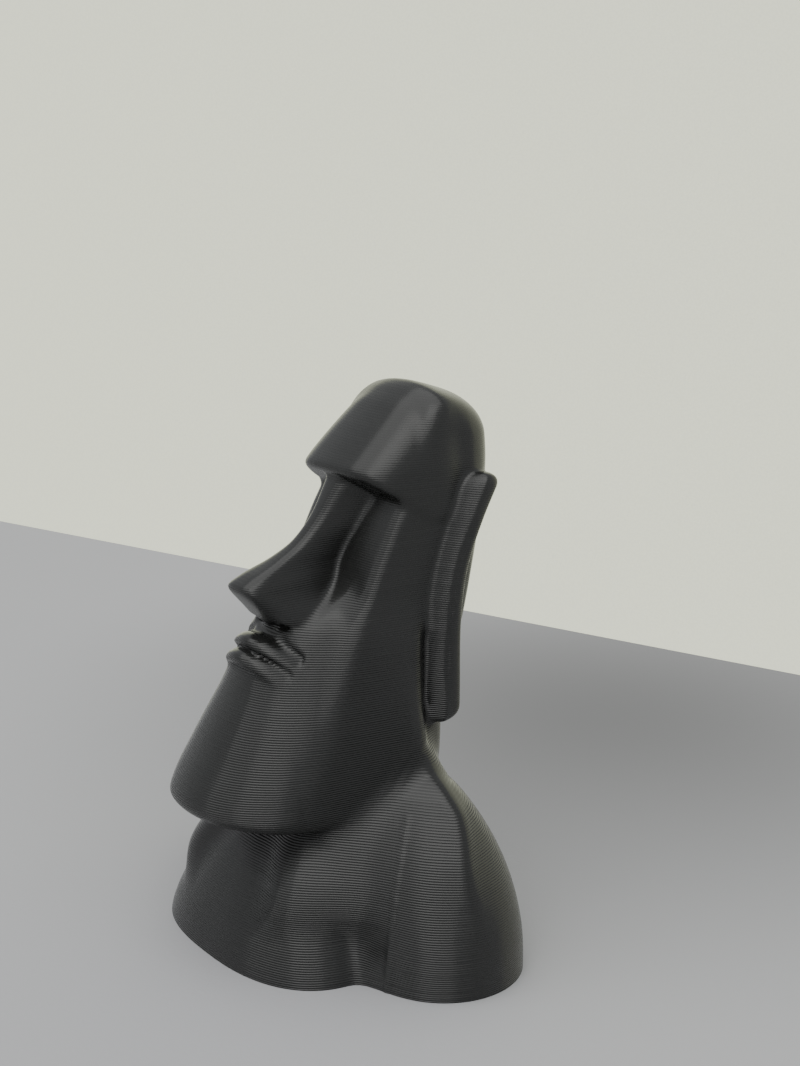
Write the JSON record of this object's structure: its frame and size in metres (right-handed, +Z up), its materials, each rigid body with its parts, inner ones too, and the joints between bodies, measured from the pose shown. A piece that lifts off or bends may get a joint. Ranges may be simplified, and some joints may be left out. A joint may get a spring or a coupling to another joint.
{
  "type": "moai bust figurine",
  "caption": "Small 3-D printed moai bust: long head with overhanging brow, straight nose, jutting chin and long ears on a lobed torso with a flat foot.",
  "frame": {"origin": "middle of the bounding box on the flat underside", "axes": "+Z up, the face looks toward -Y, the figure's left side is toward +X"},
  "size_m": [0.0546, 0.0378, 0.065],
  "materials": {
    "black_plastic": "satin black filament with fine horizontal print layers"
  },
  "bodies": {
    "root": {"moai_statue": "black_plastic"}
  },
  "joints": []
}
